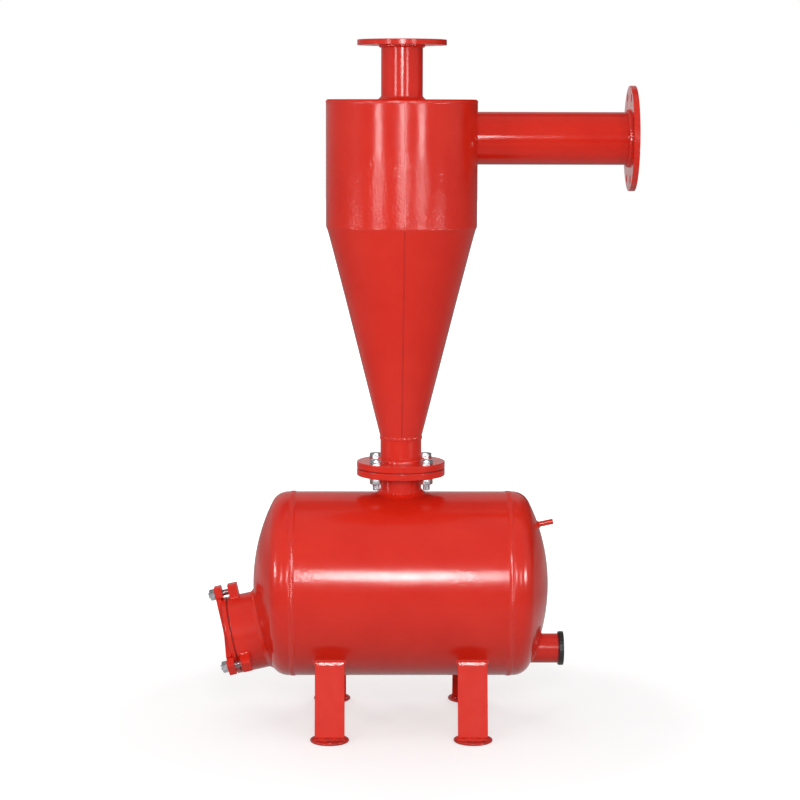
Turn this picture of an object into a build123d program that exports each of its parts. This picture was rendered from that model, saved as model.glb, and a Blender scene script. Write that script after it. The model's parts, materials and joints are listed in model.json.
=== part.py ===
from build123d import *
import os
from math import atan2, cos, degrees, radians, sin, sqrt

# Sand separator: an upright cyclone on a lying collecting tank with four splayed legs.
# Millimetres, +Z up. The origin is on the floor under the cyclone's axis, midway between
# the feet. +X points to the inlet flange and the drain, -Y to the front.

# Tank
TANK_AXIS_Z = 305.0
TANK_R = 200.0
TANK_WALL = 5.0
TANK_SEAM_X = 233.0
HEAD_CROWN_R = 2 * TANK_R
HEAD_KNUCKLE_R = 0.1 * HEAD_CROWN_R
HEAD_SKIRT = 10.0
SEAM_WIDTH = 13.0
SEAM_RISE = 1.5

# Legs and feet
LEG_X = 152.0
LEG_FOOT_Y = 185.0
LEG_WIDTH = 63.5
LEG_THICK = 10.0
LEG_EDGE_R = 1.5
LEG_SPLAY = 16.9
LEG_REACH = 200.0
FOOT_R = 41.5
FOOT_THICK = 4.0
FOOT_EDGE_R = 1.2
FOOT_WELD = 7.0

# Cyclone
TOP_Z = 1351.0
TOP_PLATE_THICK = 8.0
TOP_EDGE_R = 5.0
SHELL_R = 161.95
SHELL_WALL = 6.0
CONE_TOP_Z = 1082.0
CONE_TOP_R = 159.5
CONE_BOTTOM_Z = 626.0
RING_WELD_RISE = 8.0
RING_WELD_CREST = 0.6

# Three-inch pipe: outlet, apex neck and tank neck
PIPE_R = 44.45
PIPE_WALL = 5.5
PIPE_SETBACK = 5.0
NECK_FLARE = 12.0
OUTLET_FLARE = 9.0
FLARE_HOLLOW = 0.3

# Flanges of the three-inch pipe
FLANGE_R = 95.25
FLANGE_PCR = 76.2
FLANGE_HOLE_R = 9.5
FLANGE_HOLES = 4
FLANGE_EDGE_R = 1.2
OUTLET_FLANGE_THICK = 12.0
OUTLET_TOP_Z = 1477.0
VORTEX_TUBE_END_Z = 1180.0

# Bolted joint between cyclone and tank
JOINT_Z = 559.0
JOINT_FLANGE_THICK = 14.0
JOINT_GASKET_THICK = 2.0
JOINT_GASKET_R = 92.0
JOINT_HOLE_R = 9.0
BOLT_R = 8.0
BOLT_HEAD_FLATS = 24.0
BOLT_HEAD_HEIGHT = 10.0
BOLT_NUT_HEIGHT = 13.0
BOLT_END_Z = 518.0

# Four-inch tangential inlet
INLET_R = 57.15
INLET_WALL = 6.0
INLET_Z = 1268.0
INLET_Y = SHELL_R - INLET_R - 0.9
INLET_FACE_X = 509.0
INLET_FLANGE_R = 114.3
INLET_FLANGE_THICK = 13.0
INLET_FLANGE_PCR = 95.25
INLET_FLANGE_HOLES = 8

# Handhole in the left head
HANDHOLE_X = -360.5
HANDHOLE_Z = 190.6
HANDHOLE_TILT = 12.6
HANDHOLE_R = 84.15
HANDHOLE_WALL = 7.1
HANDHOLE_GASKET_THICK = 2.4
HANDHOLE_GASKET_R = 81.5
HANDHOLE_REACH = 200.0
HANDHOLE_EDGE_R = 1.6
COVER_THICK = 10.0
SPIDER_THICK = 11.3
SPIDER_EDGE_R = 1.5
SPIDER_ARM_WIDTH = 36.0
SPIDER_HUB_R = 26.0
SPIDER_OVERLAP = 1.0
LUG_COUNT = 3
LUG_BOLT_R = 96.0
LUG_WIDTH = 30.0
LUG_OUTER_R = 112.0
LUG_CORNER_R = 4.0
COVER_LUG_START = 6.7
COVER_LUG_END = 22.5
COVER_LUG_INNER_R = 86.0
NECK_LUG_START = -27.9
NECK_LUG_END = -7.6
STUD_R = 7.0
STUD_HOLE_R = 8.0
STUD_END = 37.5
NUT_FLATS = 22.0
NUT_HEIGHT = 12.0

# Drain on the right head
DRAIN_R = 32.0
DRAIN_BORE_R = 26.0
DRAIN_Z = 160.0
DRAIN_END_X = 352.0
DRAIN_CAP_R = 37.0
DRAIN_CAP_LENGTH = 12.0
DRAIN_CAP_FLOOR = 4.0
DRAIN_CAP_EDGE_R = 1.5

# Vent nipple on the right head
VENT_R = 6.0
VENT_BORE_R = 3.5
VENT_X = 298.0
VENT_Z = 434.0
VENT_TILT = 12.0
VENT_LENGTH = 34.0

FRONT = -1
REAR = 1


def keep(builder, name):
    """Label the finished piece and write its file."""
    builder.part.label = name
    export_step(builder.part, f"parts/{name}.step")


def ring_between(z_low, z_high, outer_r, inner_r):
    """Upright tube or ring about the cyclone's axis."""
    with BuildPart() as ring:
        with BuildSketch(Plane.XY.offset(z_low)):
            Circle(outer_r)
            Circle(inner_r, mode=Mode.SUBTRACT)
        extrude(amount=z_high - z_low)
    return ring


def rim_edges(part, radius):
    """The round edges of a part that have the given radius."""
    return part.edges().filter_by(GeomType.CIRCLE).filter_by(lambda edge: edge.radius == radius)


def flange(z_low, thick, hole_r):
    """Flat plate flange of the three-inch pipe with its bolt holes at 45 degrees."""
    with BuildPart() as plate:
        with BuildSketch(Plane.XY.offset(z_low)):
            Circle(FLANGE_R)
            Circle(PIPE_R, mode=Mode.SUBTRACT)
            with PolarLocations(FLANGE_PCR, FLANGE_HOLES, start_angle=180 / FLANGE_HOLES):
                Circle(hole_r, mode=Mode.SUBTRACT)
        extrude(amount=thick)
        fillet(rim_edges(plate, FLANGE_R), radius=FLANGE_EDGE_R)
    return plate


# Tank shell and dished ends

tank_axis_plane = Plane(origin=(0, 0, TANK_AXIS_Z), x_dir=(0, 1, 0), z_dir=(1, 0, 0))

with BuildPart() as tank_core:
    with BuildSketch(tank_axis_plane.offset(-TANK_SEAM_X)):
        Circle(TANK_R)
    extrude(amount=2 * TANK_SEAM_X)


def head_plane(side):
    """Section plane of a dished end: x runs out along the tank, y up, from the seam."""
    return Plane(
        origin=(side * TANK_SEAM_X, 0, TANK_AXIS_Z), x_dir=(side, 0, 0), z_dir=(0, -side, 0)
    )


def dished_end(side, wall=0.0):
    """Torispherical end: short skirt, knuckle arc and crown arc turned about the tank axis.

    It is solid without a wall, and hollow behind its inner profile with one.
    """
    knuckle_y = TANK_R - HEAD_KNUCKLE_R
    crown_x = HEAD_SKIRT - sqrt((HEAD_CROWN_R - HEAD_KNUCKLE_R) ** 2 - knuckle_y**2)
    meet_angle = degrees(atan2(knuckle_y, HEAD_SKIRT - crown_x))
    with BuildPart() as end:
        with BuildSketch(head_plane(side)):
            for depth in (0.0, wall) if wall else (0.0,):
                radius = TANK_R - depth
                with BuildLine():
                    skirt = Line((0, radius), (HEAD_SKIRT, radius))
                    CenterArc(
                        (HEAD_SKIRT, knuckle_y),
                        HEAD_KNUCKLE_R - depth,
                        90,
                        meet_angle - 90,
                    )
                    crown = CenterArc(
                        (crown_x, 0), HEAD_CROWN_R - depth, meet_angle, -meet_angle
                    )
                    Line(crown @ 1, (0, 0))
                    Line((0, 0), skirt @ 0)
                make_face(mode=Mode.SUBTRACT if depth else Mode.ADD)
        revolve(axis=Axis((0, 0, TANK_AXIS_Z), (side, 0, 0)))
    return end


left_core = dished_end(-1)
right_core = dished_end(1)

with BuildPart() as tank_shell:
    with BuildSketch(tank_axis_plane.offset(-TANK_SEAM_X)):
        Circle(TANK_R)
        Circle(TANK_R - TANK_WALL, mode=Mode.SUBTRACT)
    extrude(amount=2 * TANK_SEAM_X)
    with BuildSketch(Plane.XY.offset(TANK_AXIS_Z)):
        Circle(PIPE_R - PIPE_WALL)
    extrude(amount=2 * TANK_R, mode=Mode.SUBTRACT)


def seam_bead(x):
    """Flat round-topped weld bead around the tank."""
    half = SEAM_WIDTH / 2
    surface = TANK_AXIS_Z + TANK_R
    with BuildPart() as bead:
        with BuildSketch(Plane.XZ):
            with BuildLine():
                ThreePointArc(
                    (x - half, surface), (x, surface + SEAM_RISE), (x + half, surface)
                )
                Line((x + half, surface), (x - half, surface))
            make_face()
        revolve(axis=Axis((0, 0, TANK_AXIS_Z), (1, 0, 0)))
    return bead


# Handhole frame: z runs out of the tank along the neck, x is up the joint, y across it

handhole_out = (-cos(radians(HANDHOLE_TILT)), 0, -sin(radians(HANDHOLE_TILT)))
handhole_up = (-sin(radians(HANDHOLE_TILT)), 0, cos(radians(HANDHOLE_TILT)))
handhole_plane = Plane(
    origin=(HANDHOLE_X, 0, HANDHOLE_Z), x_dir=handhole_up, z_dir=handhole_out
)
half_gasket = HANDHOLE_GASKET_THICK / 2

with BuildPart() as handhole_neck:
    with BuildSketch(handhole_plane.offset(-half_gasket)):
        Circle(HANDHOLE_R)
        Circle(HANDHOLE_R - HANDHOLE_WALL, mode=Mode.SUBTRACT)
    extrude(amount=-HANDHOLE_REACH)
    fillet(
        rim_edges(handhole_neck, HANDHOLE_R).sort_by(Axis((0, 0, 0), handhole_out))[-1],
        radius=HANDHOLE_EDGE_R,
    )
    add(left_core.part, mode=Mode.SUBTRACT)
    add(tank_core.part, mode=Mode.SUBTRACT)

with BuildPart() as handhole_gasket:
    with BuildSketch(handhole_plane.offset(-half_gasket)):
        Circle(HANDHOLE_GASKET_R)
        Circle(HANDHOLE_R - HANDHOLE_WALL, mode=Mode.SUBTRACT)
    extrude(amount=HANDHOLE_GASKET_THICK)

with BuildPart() as handhole_cover:
    with BuildSketch(handhole_plane.offset(half_gasket)):
        Circle(HANDHOLE_R)
    extrude(amount=COVER_THICK)
    fillet(rim_edges(handhole_cover, HANDHOLE_R), radius=HANDHOLE_EDGE_R)

with BuildPart() as handhole_solid:
    with BuildSketch(handhole_plane.offset(half_gasket + COVER_THICK)):
        Circle(HANDHOLE_R)
    extrude(amount=-HANDHOLE_REACH)

with BuildPart() as tank_head_left:
    add(dished_end(-1, wall=TANK_WALL).part)
    with BuildSketch(handhole_plane):
        Circle(HANDHOLE_R - HANDHOLE_WALL)
    extrude(amount=-HANDHOLE_REACH, mode=Mode.SUBTRACT)


def lug_blocks(start, end, inner_r):
    """Blocks standing out of the neck or cover, one for each clamping stud."""
    with BuildPart() as blocks:
        with BuildSketch(handhole_plane.offset(start)):
            with PolarLocations((inner_r + LUG_OUTER_R) / 2, LUG_COUNT):
                RectangleRounded(LUG_OUTER_R - inner_r, LUG_WIDTH, LUG_CORNER_R)
        extrude(amount=end - start)
    return blocks


with BuildPart() as cover_spider:
    with BuildSketch(handhole_plane.offset(half_gasket + COVER_THICK)):
        Circle(SPIDER_HUB_R)
        with PolarLocations(COVER_LUG_INNER_R / 2, LUG_COUNT):
            Rectangle(COVER_LUG_INNER_R + SPIDER_OVERLAP, SPIDER_ARM_WIDTH)
    extrude(amount=SPIDER_THICK)
    add(lug_blocks(COVER_LUG_START, COVER_LUG_END, COVER_LUG_INNER_R).part)
    top_face = cover_spider.faces().sort_by(Axis((0, 0, 0), handhole_out))[-1]
    fillet(top_face.outer_wire().edges(), radius=SPIDER_EDGE_R)
    with BuildSketch(handhole_plane):
        with PolarLocations(LUG_BOLT_R, LUG_COUNT):
            Circle(STUD_HOLE_R)
    extrude(amount=STUD_END, mode=Mode.SUBTRACT)
    add(handhole_cover.part, mode=Mode.SUBTRACT)

with BuildPart() as handhole_neck_lugs:
    add(lug_blocks(NECK_LUG_START, NECK_LUG_END, HANDHOLE_R - HANDHOLE_WALL).part)
    add(handhole_solid.part, mode=Mode.SUBTRACT)

with BuildPart() as handhole_studs:
    with BuildSketch(handhole_plane.offset(NECK_LUG_END)):
        with PolarLocations(LUG_BOLT_R, LUG_COUNT):
            Circle(STUD_R)
    extrude(amount=STUD_END - NECK_LUG_END)

with BuildPart() as handhole_nuts:
    with BuildSketch(handhole_plane.offset(COVER_LUG_END)):
        with PolarLocations(LUG_BOLT_R, LUG_COUNT):
            RegularPolygon(NUT_FLATS / 2, 6, major_radius=False)
            Circle(STUD_R, mode=Mode.SUBTRACT)
    extrude(amount=NUT_HEIGHT)

# Drain stub, its cap and the vent nipple on the right head

drain_plane = Plane(origin=(0, 0, DRAIN_Z), x_dir=(0, 1, 0), z_dir=(1, 0, 0))
vent_plane = Plane(
    origin=(VENT_X, 0, VENT_Z),
    x_dir=(0, 1, 0),
    z_dir=(cos(radians(VENT_TILT)), 0, sin(radians(VENT_TILT))),
)

with BuildPart() as drain_stub:
    with BuildSketch(drain_plane.offset(TANK_SEAM_X)):
        Circle(DRAIN_R)
        Circle(DRAIN_BORE_R, mode=Mode.SUBTRACT)
    extrude(amount=DRAIN_END_X - TANK_SEAM_X)
    add(right_core.part, mode=Mode.SUBTRACT)

with BuildPart() as drain_cap:
    with BuildSketch(drain_plane.offset(DRAIN_END_X + DRAIN_CAP_FLOOR - DRAIN_CAP_LENGTH)):
        Circle(DRAIN_CAP_R)
    extrude(amount=DRAIN_CAP_LENGTH)
    with BuildSketch(drain_plane.offset(DRAIN_END_X + DRAIN_CAP_FLOOR - DRAIN_CAP_LENGTH)):
        Circle(DRAIN_R)
    extrude(amount=DRAIN_CAP_LENGTH - DRAIN_CAP_FLOOR, mode=Mode.SUBTRACT)
    fillet(rim_edges(drain_cap, DRAIN_CAP_R), radius=DRAIN_CAP_EDGE_R)

with BuildPart() as vent_nipple:
    with BuildSketch(vent_plane.offset(-VENT_LENGTH)):
        Circle(VENT_R)
        Circle(VENT_BORE_R, mode=Mode.SUBTRACT)
    extrude(amount=2 * VENT_LENGTH)
    add(right_core.part, mode=Mode.SUBTRACT)

with BuildPart() as tank_head_right:
    add(dished_end(1, wall=TANK_WALL).part)
    with BuildSketch(drain_plane.offset(TANK_SEAM_X)):
        Circle(DRAIN_BORE_R)
    extrude(amount=DRAIN_END_X - TANK_SEAM_X, mode=Mode.SUBTRACT)
    with BuildSketch(vent_plane.offset(-VENT_LENGTH)):
        Circle(VENT_BORE_R)
    extrude(amount=2 * VENT_LENGTH, mode=Mode.SUBTRACT)

# Neck on top of the tank and its saddle weld

with BuildPart() as tank_neck:
    with BuildSketch(Plane.XY.offset(TANK_AXIS_Z)):
        Circle(PIPE_R)
        Circle(PIPE_R - PIPE_WALL, mode=Mode.SUBTRACT)
    extrude(amount=JOINT_Z - JOINT_GASKET_THICK / 2 - PIPE_SETBACK - TANK_AXIS_Z)
    add(tank_core.part, mode=Mode.SUBTRACT)


def pipe_flare(foot_z, size, root_z):
    """Concave weld flare around the three-inch pipe, its root taken down to root_z."""
    foot = (PIPE_R + size, foot_z)
    hollow = (PIPE_R + FLARE_HOLLOW * size, foot_z + FLARE_HOLLOW * size)
    top = (PIPE_R, foot_z + size)
    with BuildPart() as flare:
        with BuildSketch(Plane.XZ):
            with BuildLine():
                ThreePointArc(foot, hollow, top)
                Line(top, (PIPE_R, root_z))
                if root_z < foot_z:
                    Polyline((PIPE_R, root_z), (PIPE_R + size, root_z), foot)
                else:
                    Line((PIPE_R, root_z), foot)
            make_face()
        revolve(axis=Axis.Z)
    return flare


tank_top_z = TANK_AXIS_Z + TANK_R
saddle_drop = TANK_R - sqrt(TANK_R**2 - (PIPE_R + NECK_FLARE) ** 2)

with BuildPart() as tank_neck_weld:
    add(pipe_flare(tank_top_z, NECK_FLARE, tank_top_z - 2 * saddle_drop).part)
    add(tank_core.part, mode=Mode.SUBTRACT)

# Bolted joint

gasket_low = JOINT_Z - JOINT_GASKET_THICK / 2
gasket_high = JOINT_Z + JOINT_GASKET_THICK / 2
lower_flange_low = gasket_low - JOINT_FLANGE_THICK
upper_flange_high = gasket_high + JOINT_FLANGE_THICK

lower_joint_flange = flange(lower_flange_low, JOINT_FLANGE_THICK, JOINT_HOLE_R)
upper_joint_flange = flange(gasket_high, JOINT_FLANGE_THICK, JOINT_HOLE_R)

with BuildPart() as joint_gasket:
    with BuildSketch(Plane.XY.offset(gasket_low)):
        Circle(JOINT_GASKET_R)
        Circle(PIPE_R, mode=Mode.SUBTRACT)
        with PolarLocations(FLANGE_PCR, FLANGE_HOLES, start_angle=180 / FLANGE_HOLES):
            Circle(JOINT_HOLE_R, mode=Mode.SUBTRACT)
    extrude(amount=JOINT_GASKET_THICK)

with BuildPart() as joint_bolts:
    with BuildSketch(Plane.XY.offset(BOLT_END_Z)):
        with PolarLocations(FLANGE_PCR, FLANGE_HOLES, start_angle=180 / FLANGE_HOLES):
            Circle(BOLT_R)
    extrude(amount=upper_flange_high - BOLT_END_Z)
    with BuildSketch(Plane.XY.offset(upper_flange_high)):
        with PolarLocations(FLANGE_PCR, FLANGE_HOLES, start_angle=180 / FLANGE_HOLES):
            RegularPolygon(BOLT_HEAD_FLATS / 2, 6, major_radius=False)
    extrude(amount=BOLT_HEAD_HEIGHT)

with BuildPart() as joint_nuts:
    with BuildSketch(Plane.XY.offset(lower_flange_low - BOLT_NUT_HEIGHT)):
        with PolarLocations(FLANGE_PCR, FLANGE_HOLES, start_angle=180 / FLANGE_HOLES):
            RegularPolygon(BOLT_HEAD_FLATS / 2, 6, major_radius=False)
            Circle(BOLT_R, mode=Mode.SUBTRACT)
    extrude(amount=BOLT_NUT_HEIGHT)

# Apex neck, cone and cylinder

apex_neck = ring_between(
    gasket_high + PIPE_SETBACK, CONE_BOTTOM_Z, PIPE_R, PIPE_R - PIPE_WALL
)

with BuildPart() as cyclone_cone:
    with BuildSketch(Plane.XZ):
        with BuildLine():
            Polyline(
                (CONE_TOP_R, CONE_TOP_Z),
                (PIPE_R, CONE_BOTTOM_Z),
                (PIPE_R - SHELL_WALL, CONE_BOTTOM_Z),
                (CONE_TOP_R - SHELL_WALL, CONE_TOP_Z),
                (CONE_TOP_R, CONE_TOP_Z),
            )
        make_face()
    revolve(axis=Axis.Z)

cone_slope = (CONE_TOP_R - PIPE_R) / (CONE_TOP_Z - CONE_BOTTOM_Z)

with BuildPart() as cone_ring_weld:
    weld_top = (SHELL_R, CONE_TOP_Z + RING_WELD_RISE / 2)
    weld_corner = (SHELL_R, CONE_TOP_Z)
    weld_step = (CONE_TOP_R, CONE_TOP_Z)
    weld_foot = (CONE_TOP_R - cone_slope * RING_WELD_RISE, CONE_TOP_Z - RING_WELD_RISE)
    weld_crest = (SHELL_R + RING_WELD_CREST, CONE_TOP_Z - RING_WELD_RISE / 4)
    with BuildSketch(Plane.XZ):
        with BuildLine():
            ThreePointArc(weld_foot, weld_crest, weld_top)
            Polyline(weld_top, weld_corner, weld_step, weld_foot)
        make_face()
    revolve(axis=Axis.Z)

with BuildPart() as apex_ring_weld:
    half_ring = RING_WELD_RISE / 2
    ring_top = (PIPE_R + cone_slope * half_ring, CONE_BOTTOM_Z + half_ring)
    ring_mid = (PIPE_R, CONE_BOTTOM_Z)
    ring_foot = (PIPE_R, CONE_BOTTOM_Z - half_ring)
    ring_crest = (PIPE_R + SEAM_RISE, CONE_BOTTOM_Z)
    with BuildSketch(Plane.XZ):
        with BuildLine():
            ThreePointArc(ring_foot, ring_crest, ring_top)
            Polyline(ring_top, ring_mid, ring_foot)
        make_face()
    revolve(axis=Axis.Z)

inlet_plane = Plane(origin=(0, INLET_Y, INLET_Z), x_dir=(0, 1, 0), z_dir=(1, 0, 0))

with BuildPart() as cyclone_shell:
    with BuildSketch(Plane.XY.offset(CONE_TOP_Z)):
        Circle(SHELL_R)
        Circle(SHELL_R - SHELL_WALL, mode=Mode.SUBTRACT)
    extrude(amount=TOP_Z - TOP_PLATE_THICK - CONE_TOP_Z)
    with BuildSketch(inlet_plane):
        Circle(INLET_R - INLET_WALL)
    extrude(amount=SHELL_R, mode=Mode.SUBTRACT)

with BuildPart() as cyclone_top_plate:
    with BuildSketch(Plane.XY.offset(TOP_Z - TOP_PLATE_THICK)):
        Circle(SHELL_R)
        Circle(PIPE_R, mode=Mode.SUBTRACT)
    extrude(amount=TOP_PLATE_THICK)
    rim = cyclone_top_plate.edges().filter_by(GeomType.CIRCLE)
    outer_top = rim.group_by(SortBy.RADIUS)[-1].sort_by(Axis.Z)[-1]
    fillet(outer_top, radius=TOP_EDGE_R)

# Outlet pipe, which runs on down into the cyclone, with its flange and weld

outlet_pipe = ring_between(
    VORTEX_TUBE_END_Z, OUTLET_TOP_Z - PIPE_SETBACK, PIPE_R, PIPE_R - PIPE_WALL
)
outlet_flange = flange(
    OUTLET_TOP_Z - OUTLET_FLANGE_THICK, OUTLET_FLANGE_THICK, FLANGE_HOLE_R
)

outlet_pipe_weld = pipe_flare(TOP_Z, OUTLET_FLARE, TOP_Z)

# Inlet pipe, cut to the cylinder, and its flange

with BuildPart() as cyclone_core:
    with BuildSketch(Plane.XY.offset(CONE_TOP_Z)):
        Circle(SHELL_R)
    extrude(amount=TOP_Z - CONE_TOP_Z)

with BuildPart() as inlet_pipe:
    with BuildSketch(inlet_plane):
        Circle(INLET_R)
        Circle(INLET_R - INLET_WALL, mode=Mode.SUBTRACT)
    extrude(amount=INLET_FACE_X - PIPE_SETBACK)
    add(cyclone_core.part, mode=Mode.SUBTRACT)

with BuildPart() as inlet_flange:
    with BuildSketch(inlet_plane.offset(INLET_FACE_X - INLET_FLANGE_THICK)):
        Circle(INLET_FLANGE_R)
        Circle(INLET_R, mode=Mode.SUBTRACT)
        with PolarLocations(
            INLET_FLANGE_PCR, INLET_FLANGE_HOLES, start_angle=180 / INLET_FLANGE_HOLES
        ):
            Circle(FLANGE_HOLE_R, mode=Mode.SUBTRACT)
    extrude(amount=INLET_FLANGE_THICK)
    fillet(rim_edges(inlet_flange, INLET_FLANGE_R), radius=FLANGE_EDGE_R)


# Legs of flat bar, splayed to front and rear, on round feet


def leg_bar(x, side):
    """Flat bar from the foot up to the tank, leaning in towards the tank's axis."""
    lean = radians(LEG_SPLAY)
    bar_plane = Plane(
        origin=(x, side * LEG_FOOT_Y, FOOT_THICK),
        x_dir=(1, 0, 0),
        z_dir=(0, -side * sin(lean), cos(lean)),
    )
    with BuildPart() as bar:
        with BuildSketch(bar_plane.offset(-LEG_THICK)):
            RectangleRounded(LEG_WIDTH, LEG_THICK, LEG_EDGE_R)
        extrude(amount=LEG_REACH + LEG_THICK)
        split(bisect_by=Plane.XY.offset(FOOT_THICK), keep=Keep.TOP)
        add(tank_core.part, mode=Mode.SUBTRACT)
    return bar


def foot_disc(x, side, bar):
    """Round foot plate with the fillet weld around the bottom of the bar."""
    with BuildPart() as foot:
        with Locations((x, side * LEG_FOOT_Y, FOOT_THICK / 2)):
            Cylinder(FOOT_R, FOOT_THICK)
        fillet(rim_edges(foot, FOOT_R).sort_by(Axis.Z)[-1], radius=FOOT_EDGE_R)
        with BuildSketch(Plane((x, side * LEG_FOOT_Y, FOOT_THICK))):
            Rectangle(LEG_WIDTH + 2 * FOOT_WELD, LEG_THICK + 2 * FOOT_WELD)
        extrude(amount=FOOT_WELD, taper=45)
        add(bar.part, mode=Mode.SUBTRACT)
    return foot


# Files

os.makedirs("parts", exist_ok=True)

for side, where in ((FRONT, "front"), (REAR, "rear")):
    for x, hand in ((-LEG_X, "left"), (LEG_X, "right")):
        bar = leg_bar(x, side)
        keep(bar, f"leg_{where}_{hand}")
        keep(foot_disc(x, side, bar), f"foot_{where}_{hand}")

keep(tank_shell, "tank_shell")
keep(tank_head_left, "tank_head_left")
keep(tank_head_right, "tank_head_right")
keep(seam_bead(-TANK_SEAM_X), "tank_seam_left")
keep(seam_bead(TANK_SEAM_X), "tank_seam_right")
keep(tank_neck, "tank_neck")
keep(tank_neck_weld, "tank_neck_weld")
keep(lower_joint_flange, "lower_joint_flange")
keep(joint_gasket, "joint_gasket")
keep(upper_joint_flange, "upper_joint_flange")
keep(joint_bolts, "joint_bolts")
keep(joint_nuts, "joint_nuts")
keep(apex_neck, "apex_neck")
keep(apex_ring_weld, "apex_ring_weld")
keep(cyclone_cone, "cyclone_cone")
keep(cone_ring_weld, "cone_ring_weld")
keep(cyclone_shell, "cyclone_shell")
keep(cyclone_top_plate, "cyclone_top_plate")
keep(outlet_pipe, "outlet_pipe")
keep(outlet_pipe_weld, "outlet_pipe_weld")
keep(outlet_flange, "outlet_flange")
keep(inlet_pipe, "inlet_pipe")
keep(inlet_flange, "inlet_flange")
keep(handhole_neck, "handhole_neck")
keep(handhole_gasket, "handhole_gasket")
keep(handhole_cover, "handhole_cover")
keep(cover_spider, "cover_spider")
keep(handhole_neck_lugs, "handhole_neck_lugs")
keep(handhole_studs, "handhole_studs")
keep(handhole_nuts, "handhole_nuts")
keep(drain_stub, "drain_stub")
keep(drain_cap, "drain_cap")
keep(vent_nipple, "vent_nipple")
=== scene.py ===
"""Looks of the sand separator: enamel, weld beads, fasteners, drain cap, studio and camera.

Metres, +Z up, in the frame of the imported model: the cyclone stands on the Z axis, the tank lies
along X, and the front faces -Y.
"""

import json

import bmesh
import bpy
import numpy as np
from mathutils import Matrix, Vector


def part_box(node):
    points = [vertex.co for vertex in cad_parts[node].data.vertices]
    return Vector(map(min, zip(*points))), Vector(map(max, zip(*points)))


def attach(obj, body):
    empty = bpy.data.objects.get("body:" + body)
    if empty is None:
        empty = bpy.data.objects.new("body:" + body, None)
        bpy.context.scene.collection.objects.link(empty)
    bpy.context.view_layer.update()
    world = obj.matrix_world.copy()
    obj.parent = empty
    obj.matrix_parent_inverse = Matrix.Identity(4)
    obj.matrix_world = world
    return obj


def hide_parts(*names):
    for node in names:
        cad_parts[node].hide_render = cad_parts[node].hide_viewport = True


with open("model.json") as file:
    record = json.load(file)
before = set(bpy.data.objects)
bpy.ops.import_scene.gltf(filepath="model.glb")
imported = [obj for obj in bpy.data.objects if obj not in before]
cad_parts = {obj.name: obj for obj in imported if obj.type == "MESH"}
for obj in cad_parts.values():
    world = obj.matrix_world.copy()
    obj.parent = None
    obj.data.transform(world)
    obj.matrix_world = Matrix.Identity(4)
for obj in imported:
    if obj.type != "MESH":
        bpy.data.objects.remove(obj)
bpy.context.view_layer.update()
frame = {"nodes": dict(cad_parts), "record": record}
nodes = frame["nodes"]

MM = 0.001
TURN = 2 * np.pi
RIGHT, BACK, UP = np.eye(3)


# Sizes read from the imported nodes


def span(node):
    """Lowest and highest corner of a node as arrays."""
    low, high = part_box(node)
    return np.array(low), np.array(high)


def middle(node):
    """Centre of a node's box."""
    low, high = span(node)
    return (low + high) / 2


tank_low, tank_high = span("tank_shell")
TANK_R = (tank_high[2] - tank_low[2]) / 2
TANK_Z = middle("tank_shell")[2]
SEAM_X = tank_high[0]
HEAD_DEPTH = span("tank_head_right")[1][0] - SEAM_X
shell_low, shell_high = span("cyclone_shell")
SHELL_R = (shell_high[0] - shell_low[0]) / 2
CONE_TOP_Z = shell_low[2]
PLATE_Z, TOP_Z = (corner[2] for corner in span("cyclone_top_plate"))
cone_low, cone_high = span("cyclone_cone")
CONE_TOP_R = (cone_high[0] - cone_low[0]) / 2
CONE_BOTTOM_Z = cone_low[2]
neck_low, neck_high = span("apex_neck")
PIPE_R = (neck_high[0] - neck_low[0]) / 2
INLET_Y, INLET_Z = middle("inlet_flange")[1:]
inlet_low, inlet_high = span("inlet_pipe")
INLET_R = (inlet_high[2] - inlet_low[2]) / 2
DRAIN_R = (span("drain_stub")[1][2] - span("drain_stub")[0][2]) / 2
DRAIN_Z = middle("drain_stub")[2]

# Sizes that the boxes don't give

HEAD_CROWN_R = 2 * TANK_R
HEAD_KNUCKLE_R = 0.1 * HEAD_CROWN_R
HEAD_SKIRT = 10 * MM
LEG_X = 152 * MM
LEG_FOOT_Y = 185 * MM
LEG_WIDTH = 63.5 * MM
LEG_THICK = 10 * MM
LEG_SPLAY = np.radians(16.9)
FOOT_R = 41.5 * MM
FOOT_THICK = 4 * MM
HANDHOLE_AT = np.array([-360.5, 0.0, 190.6]) * MM
HANDHOLE_TILT = np.radians(12.6)
HANDHOLE_OUT = np.array([-np.cos(HANDHOLE_TILT), 0.0, -np.sin(HANDHOLE_TILT)])
HANDHOLE_UP = np.array([-np.sin(HANDHOLE_TILT), 0.0, np.cos(HANDHOLE_TILT)])
HANDHOLE_R = 84.15 * MM
LUG_TURNS = np.radians([0.0, 120.0, 240.0])
LUG_BOLT_R = 96 * MM
LUG_WIDTH = 30 * MM
NECK_LUG_START, NECK_LUG_END = -27.9 * MM, -7.6 * MM
COVER_LUG_END = 22.5 * MM
STUD_END = 37.5 * MM
BOLT_CIRCLE_R = 76.2 * MM
BOLT_TURNS = np.radians([45.0, 135.0, 225.0, 315.0])
VENT_AT = np.array([298.0, 0.0, 434.0]) * MM
VENT_TILT = np.radians(12.0)
VENT_OUT = np.array([np.cos(VENT_TILT), 0.0, np.sin(VENT_TILT)])
VENT_R = 6 * MM
SEAM_TURN = np.radians(-88.4)
SEAM_SIDE = np.array([np.cos(SEAM_TURN), np.sin(SEAM_TURN), 0.0])
GRAIN_START = CONE_TOP_Z + 0.64 * (TOP_Z - CONE_TOP_Z)
GRAIN_FULL = CONE_TOP_Z + 0.50 * (TOP_Z - CONE_TOP_Z)

# Meshes from arrays of points

MERGE_DISTANCE = 1e-7
SHARP_ANGLE = np.radians(38)
ROUND_STEPS = 96
STEEP = 0.9


def unit(vectors):
    """Vectors divided by their length."""
    return vectors / np.linalg.norm(vectors, axis=-1, keepdims=True)


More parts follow.
